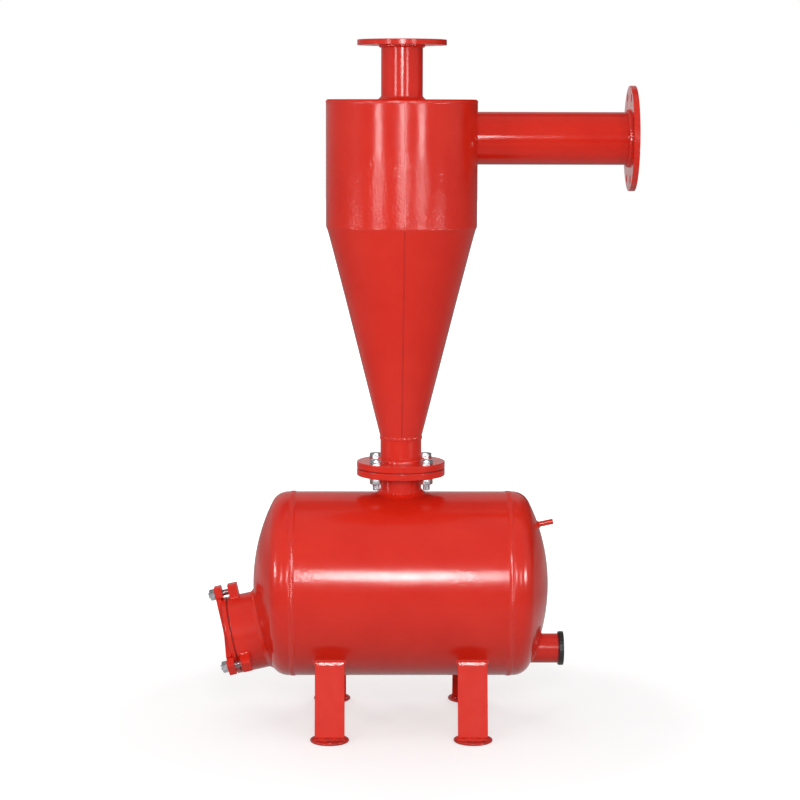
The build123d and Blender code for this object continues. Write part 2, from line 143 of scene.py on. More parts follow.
def mesh_from_grid(name, grid, rows_closed, caps=(False, False)):
    """Quads between neighbouring rows of a grid of points, whose columns run round.

    Closed rows join the last row to the first. A cap closes the first or last row with a fan of
    triangles to that row's mean point.
    """
    rows, columns = grid.shape[:2]
    index = np.arange(rows * columns).reshape(rows, columns)
    near = index if rows_closed else index[:-1]
    far = np.roll(index, -1, axis=0) if rows_closed else index[1:]
    quads = np.stack([near, np.roll(near, -1, axis=1), np.roll(far, -1, axis=1), far], axis=-1)
    points = grid.reshape(-1, 3)
    faces = quads.reshape(-1, 4).tolist()
    for wanted, row in zip(caps, (0, -1)):
        if wanted:
            centre = len(points)
            points = np.vstack([points, grid[row].mean(axis=0)])
            ring = index[row]
            fan = np.stack([ring, np.roll(ring, -1), np.full(columns, centre)], axis=-1)
            faces += fan.tolist()
    mesh = bpy.data.meshes.new(name)
    mesh.from_pydata(points.tolist(), [], faces)
    work = bmesh.new()
    work.from_mesh(mesh)
    bmesh.ops.remove_doubles(work, verts=work.verts, dist=MERGE_DISTANCE)
    bmesh.ops.recalc_face_normals(work, faces=work.faces)
    work.to_mesh(mesh)
    work.free()
    mesh.shade_smooth()
    mesh.set_sharp_from_angle(angle=SHARP_ANGLE)
    return mesh


def placed(name, data):
    """An object in the scene that shows a mesh, a lamp or a camera."""
    item = bpy.data.objects.new(name, data)
    bpy.context.scene.collection.objects.link(item)
    return item


def piece(mesh, slot, material, *stands_for):
    """A visible piece on the one body, named as its mesh and painted with the material given; the
    slot is not used.
    """
    item = placed(mesh.name, mesh)
    mesh.materials.append(material)
    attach(item, "root")
    if stands_for:
        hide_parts(*stands_for)


def joined(name, meshes):
    """One mesh with the faces of several."""
    work = bmesh.new()
    for mesh in meshes:
        work.from_mesh(mesh)
        bpy.data.meshes.remove(mesh)
    mesh = bpy.data.meshes.new(name)
    work.to_mesh(mesh)
    work.free()
    mesh.set_sharp_from_angle(angle=SHARP_ANGLE)
    return mesh


def axes_for(axis):
    """Two unit vectors square to an axis and to each other."""
    axis = unit(np.asarray(axis, float))
    helper = UP if abs(axis[2]) < STEEP else RIGHT
    side = unit(np.cross(helper, axis))
    return side, np.cross(axis, side)


def turned(name, centre, axis, profile, radius_factor=None, closed=False, steps=ROUND_STEPS):
    """A profile of (radius, height) pairs turned about an axis through a centre.

    The point at angle t is centre + height * axis + radius * factor(t) * (a cos t + b sin t).
    A closed profile makes a ring. An open one starts and ends on the axis.
    """
    axis = unit(np.asarray(axis, float))
    side, other = axes_for(axis)
    angles = np.arange(steps) * TURN / steps
    around = np.cos(angles)[:, None] * side + np.sin(angles)[:, None] * other
    profile = np.asarray(profile, float)
    radii = profile[:, 0][:, None] * np.ones(steps)
    if radius_factor is not None:
        radii = radius_factor(angles, profile)
    grid = (
        np.asarray(centre, float)
        + profile[:, 1][:, None, None] * axis
        + radii[..., None] * around
    )
    return mesh_from_grid(name, grid, closed)


# Weld beads

BEAD_COLUMNS = 9
RIPPLE_STEPS = 5
FEWEST_RIPPLES = 4
RIPPLE_PITCH = 3.2 * MM
SLOW_WAVES = (5, 11, 23)
RIPPLE_JITTER = 0.35
CRESCENT = 0.6
WIDTH_SWELL, RISE_SWELL = 0.07, 0.12
CREST_SPREAD = 0.05
LINE_WANDER = 0.06
END_FADE = 0.6
TOE_OVERLAP = 0.08
TOE_COVER = 1.04
MEET_LIMITS = (-0.98, 0.9999)
NO_LENGTH = 1e-9
FLANGE_PITCH = 8 * MM
FLANGE_RIPPLE = 1.0 * MM
GAP_STEP = 0.05 * MM
HALVINGS = 40


def weld_bead(name, path, out, width, rise, root, ripple, seed, closed=True, pitch=RIPPLE_PITCH):
    """A rippled bead along a path.

    Across the bead the height is rise * (1 - s^2) for s from -1 to 1 over the width, and below
    it the profile closes in a point at depth root. Along it the phase is the distance run over
    the pitch less a share of s^2, so each ripple is a crescent, and its height is ripple times
    the sine of half the phase, fading to the toes. Three slow sine waves of seeded phase vary
    the width and the line.
    """
    rng = np.random.default_rng(seed)
    count = len(path)
    ahead = np.roll(path, -1, axis=0) if closed else np.vstack([path[1:], path[-1:]])
    behind = np.roll(path, 1, axis=0) if closed else np.vstack([path[:1], path[:-1]])
    along = unit(ahead - behind)
    across = unit(np.cross(along, out))
    steps = np.linalg.norm(np.diff(path, axis=0), axis=1)
    run = np.concatenate([[0.0], np.cumsum(steps)])
    length = run[-1] + (np.linalg.norm(path[0] - path[-1]) if closed else 0.0)
    ripples = max(1, round(length / pitch))
    phase = run / length
    wander = np.zeros(count)
    swell = np.zeros(count)
    jitter = np.zeros(count)
    for waves in SLOW_WAVES:
        wander += np.sin(TURN * (waves * phase + rng.random())) / 3
        swell += np.sin(TURN * (waves * phase + rng.random())) / 3
        jitter += np.sin(TURN * (2 * waves * phase + rng.random())) / 3
    s = np.linspace(-1.0, 1.0, BEAD_COLUMNS)
    crest_phase = (ripples * phase + RIPPLE_JITTER * jitter)[:, None] - CRESCENT * s**2
    crest = np.abs(np.sin(np.pi * crest_phase))
    ends = np.ones(count)
    if not closed:
        fade = np.minimum(run, length - run) / (END_FADE * np.mean(width))
        ends = np.sqrt(np.clip(fade, 0.0, 1.0))
    half = 0.5 * width * ends * (1 + WIDTH_SWELL * swell)
    edge = half[:, None] * s * (1 + CREST_SPREAD * crest)
    low = (rise * ends)[:, None] * (1 - s**2) * (1 + RISE_SWELL * swell[:, None])
    height = low + ripple * ends[:, None] * (crest - 0.5) * (1 - s**4)
    line = path + across * (LINE_WANDER * half * wander)[:, None]
    top = line[:, None, :] + edge[..., None] * across[:, None, :]
    top = top + height[..., None] * out[:, None, :]
    apex = line - out * (root * ends)[:, None]
    grid = np.concatenate([top, apex[:, None, :]], axis=1)
    return mesh_from_grid(name, grid, closed, (not closed, not closed))


def corner_bead(
    name, path, normal_a, normal_b, leg, seed, closed=True, bulge=0.12, pitch=RIPPLE_PITCH,
    ripple=0.45 * MM,
):
    """A fillet bead in the corner of two surfaces.

    The bead faces midway between the two normals, so its chord makes the angle a with the first
    surface and b with the second, where a + b is the angle between the normals. By the rule of
    sines, with a chord of width w the toes lie w * sin(b) and w * sin(a) over the sine of both
    from the corner, and the chord lies the first of these times sin(a) out of the corner. Where
    the surfaces run together it is flat and twice the leg wide. A negative bulge is hollow.
    """
    out = unit(normal_a + normal_b)
    meet = np.clip(np.sum(normal_a * normal_b, axis=-1), *MEET_LIMITS)
    both = np.arccos(meet)
    angle_a = np.arccos(np.clip(np.sum(out * normal_a, axis=-1), -1.0, 1.0))
    angle_b = both - angle_a
    width = 2 * leg * np.cos(both / 2)
    toe_a = width * np.sin(angle_b) / np.sin(both)
    toe_b = width * np.sin(angle_a) / np.sin(both)
    lift = toe_a * np.sin(angle_a)
    shift = (toe_a * np.cos(angle_a) - toe_b * np.cos(angle_b)) / 2
    towards_a = unit(normal_b - meet[:, None] * normal_a + NO_LENGTH)
    slide = towards_a - np.sum(towards_a * out, axis=-1)[:, None] * out
    overlap = TOE_OVERLAP * leg
    chord = path + out * (lift - overlap)[:, None] + unit(slide) * shift[:, None]
    return weld_bead(
        name, chord, out, width=TOE_COVER * width, rise=bulge * leg + overlap * (bulge > 0),
        root=lift + overlap, ripple=ripple, seed=seed, closed=closed, pitch=pitch,
    )


def points_for(length):
    """How many points carry the ripples of a path of that length."""
    return int(RIPPLE_STEPS * max(FEWEST_RIPPLES, round(length / RIPPLE_PITCH)))


def line_points(start, end):
    """Evenly spaced points on the straight line between two points."""
    share = np.linspace(0.0, 1.0, points_for(np.linalg.norm(end - start)))[:, None]
    return start * (1 - share) + end * share


def circle(centre, axis, radius):
    """Points on a circle and the radial unit vectors there."""
    side, other = axes_for(axis)
    count = points_for(TURN * radius)
    angles = np.arange(count) * TURN / count
    radial = np.cos(angles)[:, None] * side + np.sin(angles)[:, None] * other
    return np.asarray(centre, float) + radius * radial, radial


def flange_weld(name, centre, axis, radius, leg, seed, bulge, inward=False):
    """Fillet around a pipe where it meets a flat face whose normal is the axis."""
    path, radial = circle(centre, axis, radius)
    face = np.broadcast_to(unit(np.asarray(axis, float)), path.shape)
    return corner_bead(
        name, path, -radial if inward else radial, face, leg, seed, bulge=bulge,
        pitch=FLANGE_PITCH, ripple=FLANGE_RIPPLE,
    )


def tank_normal(points):
    """Outward normal of the tank's cylinder."""
    return unit((points - TANK_Z * UP) * (BACK + UP))


def head_gap(points):
    """How far points lie outside the dished end beyond the seam, along the tank's axis.

    The end is a crown arc of twice the tank's radius and a knuckle arc of a tenth of that. The
    profile at distance q from the axis is crown_x + sqrt(crown_r^2 - q^2) up to the knuckle,
    and skirt + sqrt(knuckle_r^2 - (q - knuckle_q)^2) beyond it.
    """
    knuckle_q = TANK_R - HEAD_KNUCKLE_R
    reach = HEAD_CROWN_R - HEAD_KNUCKLE_R
    crown_x = HEAD_SKIRT - np.sqrt(reach**2 - knuckle_q**2)
    meet_q = knuckle_q * HEAD_CROWN_R / reach
    q = np.hypot(points[..., 1], points[..., 2] - TANK_Z)
    crown = crown_x + np.sqrt(np.maximum(HEAD_CROWN_R**2 - q**2, 0.0))
    knuckle = HEAD_SKIRT + np.sqrt(np.maximum(HEAD_KNUCKLE_R**2 - (q - knuckle_q) ** 2, 0.0))
    profile = np.where(q <= meet_q, crown, knuckle)
    return np.abs(points[..., 0]) - SEAM_X - profile


def head_normal(points):
    """Outward normal of the dished end, from differences of the gap."""
    columns = [
        head_gap(points + GAP_STEP * axis) - head_gap(points - GAP_STEP * axis)
        for axis in (RIGHT, BACK, UP)
    ]
    return unit(np.stack(columns, axis=-1))


def pipe_on_head(centre, axis, radius, reach):
    """Where a pipe's surface meets the dished end: halving steps along each of its lines."""
    rim, radial = circle(centre, axis, radius)
    axis = unit(np.asarray(axis, float))
    outside = np.full(len(rim), reach)
    inside = np.full(len(rim), -reach)
    for _ in range(HALVINGS):
        half = (outside + inside) / 2
        clear = head_gap(rim + half[:, None] * axis) > 0
        outside = np.where(clear, half, outside)
        inside = np.where(clear, inside, half)
    return rim + outside[:, None] * axis, radial


# Shader nodes

MIDDLE = (0.3, 0.7)
WHOLE = (0.0, 1.0)
WHITE = (1.0, 1.0, 1.0, 1.0)
WAVE_BUMP, GRAIN_BUMP, FINE_BUMP = 1.5 * MM, 0.75 * MM, 0.05 * MM
PATCH_EDGE, PATCH_SHARES = (0.46, 0.62), (0.12, 1.0)


def feed(tree, given, place):
    """A plain value set on an input, or a socket linked to it."""
    if isinstance(given, bpy.types.NodeSocket):
        tree.links.new(given, place)
    else:
        place.default_value = given


def feed_all(tree, node, given):
    """The inputs of a node fed by name, where an underscore stands for a space."""
    for name, value in given.items():
        feed(tree, value, node.inputs[name.replace("_", " ")])


def add_node(tree, kind, output, **given):
    """A node with its inputs fed by name, and the output asked for."""
    node = tree.nodes.new(f"ShaderNode{kind}")
    feed_all(tree, node, given)
    return node.outputs[output]


def add_noise(tree, vector, scale, detail=2.0, roughness=0.5):
    """A noise texture on a vector."""
    return add_node(
        tree, "TexNoise", "Fac", Vector=vector, Scale=scale, Detail=detail, Roughness=roughness
    )


def add_range(tree, value, source, target):
    """A value moved from one range to another, clamped."""
    return add_node(
        tree, "MapRange", "Result", Value=value, From_Min=source[0], From_Max=source[1],
        To_Min=target[0], To_Max=target[1],
    )


def add_math(tree, operation, first, second):
    """Two values taken together by a product or a maximum."""
    node = tree.nodes.new("ShaderNodeMath")
    node.operation = operation
    feed(tree, first, node.inputs[0])
    feed(tree, second, node.inputs[1])
    return node.outputs["Value"]


def add_mix(tree, share, first, second):
    """Two colours mixed by a share."""
    mix = tree.nodes.new("ShaderNodeMix")
    mix.data_type = "RGBA"
    tree.links.new(share, mix.inputs["Factor"])
    for given, name in ((first, "A"), (second, "B")):
        feed(tree, given, next(i for i in mix.inputs if i.name == name and i.type == "RGBA"))
    return next(o for o in mix.outputs if o.type == "RGBA")


def add_bump(tree, height, strength, distance, **normal):
    """A bump of a height map, on top of another normal where one is given."""
    return add_node(
        tree, "Bump", "Normal", Height=height, Strength=strength, Distance=distance, **normal
    )


def add_shader_pair(tree, kind, first, second, **given):
    """Two shaders taken together, by a sum or by a share of the second."""
    node = tree.nodes.new(f"ShaderNode{kind}Shader")
    feed_all(tree, node, given)
    ends = [i for i in node.inputs if i.type == "SHADER"]
    for shader, place in zip((first, second), ends):
        tree.links.new(shader, place)
    return node.outputs["Shader"]


def empty_tree(owner):
    """The node tree of a material or world, cleared."""
    owner.use_nodes = True
    owner.node_tree.nodes.clear()
    return owner.node_tree


# Shared shader groups


def new_group(name, inputs, outputs):
    """An empty node group, the sockets that give its inputs and those that take its outputs."""
    group = bpy.data.node_groups.new(name, "ShaderNodeTree")
    for way, sockets in (("INPUT", inputs), ("OUTPUT", outputs)):
        for label, kind in sockets.items():
            group.interface.new_socket(name=label, in_out=way, socket_type=f"NodeSocket{kind}")
    given = group.nodes.new("NodeGroupInput").outputs
    result = group.nodes.new("NodeGroupOutput").inputs
    return group, given, result


def enamel_skin_group():
    """Orange peel over a slow unevenness of the plate, as a normal.

    Runs of finger-wide waves come and go in large patches, as where a coat was laid on thick.
    Grain roughens the lower part of the cyclone's cylinder, where the coat fell short.
    """
    group, given, result = new_group(
        "enamel_skin",
        {"Vector": "Vector", "Peel": "Float", "Plate": "Float", "Waves": "Float", "Grain": "Float"},
        {"Normal": "Vector"},
    )
    vector = given["Vector"]
    slow = add_noise(group, vector, scale=14.0)
    plate = add_bump(group, slow, given["Plate"], WAVE_BUMP)
    patches = add_range(group, add_noise(group, vector, scale=7.0), PATCH_EDGE, PATCH_SHARES)
    waves = add_noise(group, vector, scale=105.0, roughness=0.6)
    laid_on = add_math(group, "MULTIPLY", patches, given["Waves"])
    laid = add_bump(group, waves, laid_on, WAVE_BUMP, Normal=plate)
    height = add_node(group, "SeparateXYZ", "Z", Vector=vector)
    low_down = add_range(group, height, (GRAIN_START, GRAIN_FULL), WHOLE)
    grains = add_noise(group, vector, scale=200.0, roughness=0.6)
    grain = add_math(group, "MULTIPLY", low_down, given["Grain"])
    rough = add_bump(group, grains, grain, GRAIN_BUMP, Normal=laid)
    fine = add_noise(group, vector, scale=420.0, detail=1.5)
    skin = add_bump(group, fine, given["Peel"], FINE_BUMP, Normal=rough)
    group.links.new(skin, result["Normal"])
    return group


def tone_group():
    """A colour drifting between two tones, with matching gloss."""
    group, given, result = new_group(
        "tone_drift",
        {
            "Vector": "Vector", "Deep": "Color", "Bright": "Color", "Scale": "Float",
            "Gloss Low": "Float", "Gloss High": "Float",
        },
        {"Colour": "Color", "Roughness": "Float"},
    )
    cloud = add_noise(group, given["Vector"], given["Scale"], detail=4.0, roughness=0.6)
    share = add_range(group, cloud, MIDDLE, WHOLE)
    colour = add_mix(group, share, given["Deep"], given["Bright"])
    group.links.new(colour, result["Colour"])
    smear = add_noise(group, given["Vector"], scale=60.0, detail=3.0, roughness=0.6)
    gloss = add_range(group, smear, MIDDLE, (given["Gloss Low"], given["Gloss High"]))
    group.links.new(gloss, result["Roughness"])
    return group


SKIN = enamel_skin_group()
TONE = tone_group()

# Materials

RED_DEEP = (0.67, 0.016, 0.006, 1.0)
RED_BRIGHT = (0.72, 0.023, 0.009, 1.0)
ZINC_DEEP, ZINC_BRIGHT = (0.42, 0.43, 0.46, 1.0), (0.72, 0.73, 0.75, 1.0)
RUBBER_DEEP, RUBBER_RED = (0.18, 0.011, 0.008, 1.0), (0.36, 0.016, 0.010, 1.0)
RUBBER_TINT, RUBBER_DULL, RUBBER_BUMP = (0.45, 0.75), (0.55, 0.8), 0.1 * MM
CAP_DEEP, CAP_BRIGHT = (0.010, 0.010, 0.011, 1.0), (0.022, 0.020, 0.020, 1.0)
CAP_SHEEN = (0.28, 0.4)


def new_material(name):
    """An empty material with a Principled shader, its tree and object coordinates."""
    material = bpy.data.materials.new(name)
    tree = empty_tree(material)
    shader = tree.nodes.new("ShaderNodeBsdfPrincipled")
    output = tree.nodes.new("ShaderNodeOutputMaterial")
    tree.links.new(shader.outputs["BSDF"], output.inputs["Surface"])
    return material, tree, shader, add_node(tree, "TexCoord", "Object")


def add_group(tree, group, vector, **values):
    """The outputs of a shared group placed in a material with its own values."""
    node = tree.nodes.new("ShaderNodeGroup")
    node.node_tree = group
    tree.links.new(vector, node.inputs["Vector"])
    feed_all(tree, node, values)
    return node.outputs


def dress(tree, shader, colour, roughness, normal):
    """Maps of colour, roughness and normal linked to a shader."""
    tree.links.new(colour, shader.inputs["Base Color"])
    tree.links.new(roughness, shader.inputs["Roughness"])
    tree.links.new(normal, shader.inputs["Normal"])


def enamel(
    name, shine, gloss, peel, plate, waves, deep=RED_DEEP, bright=RED_BRIGHT, drift=9.0, grain=0.0
):
    """Gloss enamel: two close reds that drift over the plate under an orange-peel skin."""
    material, tree, shader, place = new_material(f"red_enamel_{name}")
    tone = add_group(
        tree, TONE, place, Deep=deep, Bright=bright, Scale=drift, Gloss_Low=gloss[0],
        Gloss_High=gloss[1],
    )
    skin = add_group(tree, SKIN, place, Peel=peel, Plate=plate, Waves=waves, Grain=grain)
    dress(tree, shader, tone["Colour"], tone["Roughness"], skin["Normal"])
    shader.inputs["Specular IOR Level"].default_value = shine
    return material


def zinc_plate():
    """Bright zinc: a pale metal with fine draw marks and cloudy gloss."""
    material, tree, shader, place = new_material("zinc_plate")
    tone = add_group(
        tree, TONE, place, Deep=ZINC_DEEP, Bright=ZINC_BRIGHT, Scale=180.0, Gloss_Low=0.20,
        Gloss_High=0.42,
    )
    draw = add_noise(tree, place, scale=1500.0)
    marks = add_bump(tree, draw, strength=0.25, distance=FINE_BUMP)
    dress(tree, shader, tone["Colour"], tone["Roughness"], marks)
    shader.inputs["Metallic"].default_value = 1.0
    return material


def sheet_rubber():
    """Dull dark rubber with a trace of red on it from the sprayed flanges."""
    material, tree, shader, place = new_material("gasket_sheet")
    cloud = add_noise(tree, place, scale=240.0, detail=3.0)
    colour = add_mix(tree, add_range(tree, cloud, RUBBER_TINT, WHOLE), RUBBER_DEEP, RUBBER_RED)
    dull = add_range(tree, cloud, MIDDLE, RUBBER_DULL)
    relief = add_bump(tree, cloud, strength=0.3, distance=RUBBER_BUMP)
    dress(tree, shader, colour, dull, relief)
    return material


def moulded_cap():
    """Black moulded plastic with a fine spark grain."""
    material, tree, shader, place = new_material("moulded_cap")
    grain = add_noise(tree, place, scale=1300.0)
    cloud = add_noise(tree, place, scale=70.0, detail=3.0)
    colour = add_mix(tree, add_range(tree, cloud, MIDDLE, WHOLE), CAP_DEEP, CAP_BRIGHT)
    sheen = add_range(tree, cloud, MIDDLE, CAP_SHEEN)
    relief = add_bump(tree, grain, strength=0.35, distance=FINE_BUMP)
    dress(tree, shader, colour, sheen, relief)
    return material


red_plate = enamel("plate", shine=0.45, gloss=(0.15, 0.20), peel=0.4, plate=0.25, waves=0.25)
red_pipe = enamel("pipe", shine=0.45, gloss=(0.15, 0.20), peel=0.5, plate=0.15, waves=0.25)
red_runs = enamel("runs", shine=0.45, gloss=(0.12, 0.17), peel=0.5, plate=0.25, waves=0.8)
red_shell = enamel(
    "shell", shine=0.45, gloss=(0.14, 0.20), peel=0.5, plate=0.30, waves=0.08, grain=0.8
)
red_inlet = enamel("inlet", shine=0.3, gloss=(0.08, 0.12), peel=0.3, plate=0.1, waves=0.2)
red_top = enamel("top", shine=0.0, gloss=(0.5, 0.6), peel=0.3, plate=0.1, waves=0.1)
red_weld = enamel("weld", shine=0.6, gloss=(0.10, 0.15), peel=0.5, plate=0.05, waves=0.4)
# Feet: painted shade. A red much darker on the whole than the rest of the enamel stands in for the
# shade and the dark reflection under the tank, mottled in small random patches.
red_foot_painted_shade = enamel(
    "foot", shine=0.6, gloss=(0.10, 0.16), peel=0.3, plate=0.05, waves=0.3,
    deep=(0.36, 0.012, 0.008, 1.0), bright=(0.72, 0.024, 0.010, 1.0), drift=65.0,
)
red_leg = enamel("leg", shine=0.2, gloss=(0.45, 0.55), peel=0.3, plate=0.05, waves=0.1)
# Cone seam: painted shade. A deeper red on the bead stands in for the dark line that its relief
# shows in shade.
red_seam_painted_shade = enamel(
    "seam", shine=0.45, gloss=(0.15, 0.20), peel=0.3, plate=0.05, waves=0.1,
    deep=(0.48, 0.012, 0.006, 1.0), bright=(0.62, 0.018, 0.008, 1.0),
)
zinc = zinc_plate()
rubber = sheet_rubber()
cap_black = moulded_cap()

SLOT_MATERIALS = {
    "red_paint": red_plate,
    "zinc_steel": zinc,
    "gasket_rubber": rubber,
    "black_cap": cap_black,
}
PIPES = ("apex_neck", "tank_neck", "drain_stub", "handhole_neck")
LEGS = ("leg_front_left", "leg_front_right", "leg_rear_left", "leg_rear_right")

FINISHES = {name: red_pipe for name in PIPES}
FINISHES.update({name: red_leg for name in LEGS})
FINISHES.update(
    cyclone_shell=red_shell, outlet_pipe=red_runs, inlet_pipe=red_inlet, cyclone_top_plate=red_top
)

for part in frame["record"]["subparts"]:
    finish = FINISHES.get(part["node"], SLOT_MATERIALS[part["material_slot"]])
    for place in nodes[part["node"]].material_slots:
        place.material = finish


def red_weld_piece(mesh, *stands_for):
    """A weld bead under the red enamel."""
    piece(mesh, "red_paint", red_weld, *stands_for)


# Round welds of tank and cyclone

CONE_BEAD_DROP = 1.5 * MM
CONE_BEAD_INSET = 2.4 * MM
CONE_BEAD_LEAN = 0.25
PLATE_BEAD_LIFT = 2 * MM
PLATE_BEAD_INSET = 0.1 * MM


def ring_bead(name, centre, axis, radius, *stands_for, lean=0.0, **bead):
    """A bead round a circle, whose outward direction leans back along the axis."""
    path, radial = circle(centre, axis, radius)
    red_weld_piece(weld_bead(name, path, unit(radial - lean * axis), **bead), *stands_for)


for seed, (side, hand) in enumerate(((-1, "left"), (1, "right"))):
    ring_bead(
        f"tank_seam_bead_{hand}", (side * SEAM_X, 0.0, TANK_Z), RIGHT, TANK_R,
        f"tank_seam_{hand}", width=13 * MM, rise=0.9 * MM, root=2 * MM, ripple=0.55 * MM,
        seed=seed, pitch=4.6 * MM,
    )

ring_bead(
    "cone_ring_bead", (0.0, 0.0, CONE_TOP_Z - CONE_BEAD_DROP), UP, SHELL_R - CONE_BEAD_INSET,
    "cone_ring_weld", lean=CONE_BEAD_LEAN, width=10 * MM, rise=1.5 * MM, root=3 * MM,
    ripple=0.9 * MM, seed=3, pitch=5.5 * MM,
)

# Flare under the cone's ring

CONE_SLOPE = (CONE_TOP_R - PIPE_R) / (CONE_TOP_Z - CONE_BOTTOM_Z)
FLARE_LENGTH = 215 * MM
FLARE_EVEN = 1.0 * MM
FLARE_KNUCKLE = 1.4 * MM
FLARE_KNUCKLE_LENGTH = 10 * MM
FLARE_SINK = 0.3 * MM
FLARE_ROOT = 1.5 * MM
FLARE_ROWS = 90
FLARE_STEPS = 192


def flare_rise(depth):
    """How far coat and weld stand off the straight cone at a depth below the ring.

    A share that falls evenly to nothing over the flare's length, and a share that dies away as
    exp(-depth / knuckle length).
    """
    even = FLARE_EVEN * (1 - depth / FLARE_LENGTH)
    return even + FLARE_KNUCKLE * np.exp(-depth / FLARE_KNUCKLE_LENGTH)


def cone_flare():
    """Thin skin around the top of the cone that carries the cylinder's edge into it."""
    depth = FLARE_LENGTH * np.linspace(0.0, 1.0, FLARE_ROWS) ** 2
    cone = CONE_TOP_R - CONE_SLOPE * depth
    outer = cone + flare_rise(depth) - FLARE_SINK * depth / FLARE_LENGTH
    inner = cone - FLARE_ROOT
    radii = np.concatenate([outer, inner[::-1]])
    heights = CONE_TOP_Z - np.concatenate([depth, depth[::-1]])
    profile = np.stack([radii, heights], axis=-1)
    return turned("cone_flare", (0.0, 0.0, 0.0), UP, profile, closed=True, steps=FLARE_STEPS)


piece(cone_flare(), "red_paint", red_plate)

# Rings of the top plate, the apex and the outlet

ring_bead(
    "top_plate_bead", (0.0, 0.0, PLATE_Z + PLATE_BEAD_LIFT), UP, SHELL_R - PLATE_BEAD_INSET,
    width=6 * MM, rise=0.35 * MM, root=1.5 * MM, ripple=0.4 * MM, seed=8, pitch=5.5 * MM,
)
ring_bead(
    "apex_ring_bead", (0.0, 0.0, CONE_BOTTOM_Z), UP, PIPE_R, "apex_ring_weld",
    width=10 * MM, rise=1.0 * MM, root=2 * MM, ripple=1.1 * MM, seed=4, pitch=9 * MM,
)
red_weld_piece(
    flange_weld("outlet_root_bead", (0, 0, TOP_Z), UP, PIPE_R, leg=9 * MM, seed=5, bulge=-0.18),
    "outlet_pipe_weld",
)

# Welds of the flanges, outside and inside

FLANGE_BULGE = 0.3
OUTLET_UNDER_Z = span("outlet_flange")[0][2]
UPPER_TOP_Z = span("upper_joint_flange")[1][2]
LOWER_UNDER_Z = span("lower_joint_flange")[0][2]
INLET_BACK_X = span("inlet_flange")[0][0]
OUTLET_PIPE_END_Z = span("outlet_pipe")[1][2]
INLET_PIPE_END_X = inlet_high[0]

# Name, centre, axis, radius of the pipe, leg of the bead, and whether it lies in the pipe
for name, centre, axis, radius, leg, inward in (
    ("outlet_flange_bead", (0, 0, OUTLET_UNDER_Z), -UP, PIPE_R, 5 * MM, False),
    ("upper_flange_bead", (0, 0, UPPER_TOP_Z), UP, PIPE_R, 7 * MM, False),
    ("lower_flange_bead", (0, 0, LOWER_UNDER_Z), -UP, PIPE_R, 5 * MM, False),
    ("outlet_inner_bead", (0, 0, OUTLET_PIPE_END_Z), UP, PIPE_R, 4.2 * MM, True),
    ("inlet_flange_bead", (INLET_BACK_X, INLET_Y, INLET_Z), -RIGHT, INLET_R, 6 * MM, False),
    ("inlet_inner_bead", (INLET_PIPE_END_X, INLET_Y, INLET_Z), RIGHT, INLET_R, 4.2 * MM, True),
):
    red_weld_piece(flange_weld(name, centre, axis, radius, leg, len(name), FLANGE_BULGE, inward))

# Saddle welds: tank neck, inlet, handhole neck, drain and vent

HEAD_REACH = 130 * MM
HEAD_SEED = 20


def neck_saddle():
    """Where the neck's cylinder meets the tank's: z = axis + sqrt(R^2 - y^2)."""
    rim, radial = circle((0.0, 0.0, 0.0), UP, PIPE_R)
    rim[:, 2] = TANK_Z + np.sqrt(TANK_R**2 - rim[:, 1] ** 2)
    return rim, radial, tank_normal(rim)


def inlet_saddle():
    """Where the inlet's cylinder meets the cyclone's: x = sqrt(R^2 - y^2)."""
    rim, radial = circle((0.0, INLET_Y, INLET_Z), RIGHT, INLET_R)
    rim[:, 0] = np.sqrt(np.maximum(SHELL_R**2 - rim[:, 1] ** 2, 0.0))
    return rim, radial, unit(rim * (RIGHT + BACK))


neck_bead = corner_bead(
    "tank_neck_bead", *neck_saddle(), leg=13 * MM, seed=6, bulge=-0.25, pitch=9 * MM,
    ripple=1.1 * MM,
)
red_weld_piece(neck_bead, "tank_neck_weld")
red_weld_piece(
    corner_bead("inlet_root_bead", *inlet_saddle(), leg=7 * MM, seed=7, bulge=0.02)
)

for number, (name, centre, axis, radius, leg) in enumerate(
    (
        ("handhole_root_bead", HANDHOLE_AT, HANDHOLE_OUT, HANDHOLE_R, 8 * MM),
        ("drain_root_bead", (SEAM_X + HEAD_DEPTH, 0.0, DRAIN_Z), RIGHT, DRAIN_R, 6 * MM),
        ("vent_root_bead", VENT_AT, VENT_OUT, VENT_R, 3.5 * MM),
    )
):
    saddle, radial = pipe_on_head(centre, axis, radius, HEAD_REACH)
    red_weld_piece(
        corner_bead(
            name, saddle, radial, head_normal(saddle), leg, seed=HEAD_SEED + number, bulge=-0.05
        )
    )

# Straight seams of the rolled cylinder and cone, just right of the front

SEAM_ROOT = 1.5 * MM
SEAM_RIPPLE = 0.2 * MM
SEAM_FOOT_GAP = 3 * MM
SEAM_TOP_GAP = 5 * MM


def straight_seam(name, bottom, top, out, width, rise, seed):
    """A low bead along the straight line between two points, lifted to the flare's skin."""
    path = line_points(bottom, top)
    depth = CONE_TOP_Z - path[:, 2]
    flared = (depth >= 0) & (depth < FLARE_LENGTH)
    path[flared] += flare_rise(depth[flared])[:, None] * SEAM_SIDE
    return weld_bead(
        name, path, np.broadcast_to(out, path.shape), width, rise, SEAM_ROOT, SEAM_RIPPLE, seed,
        closed=False,
    )


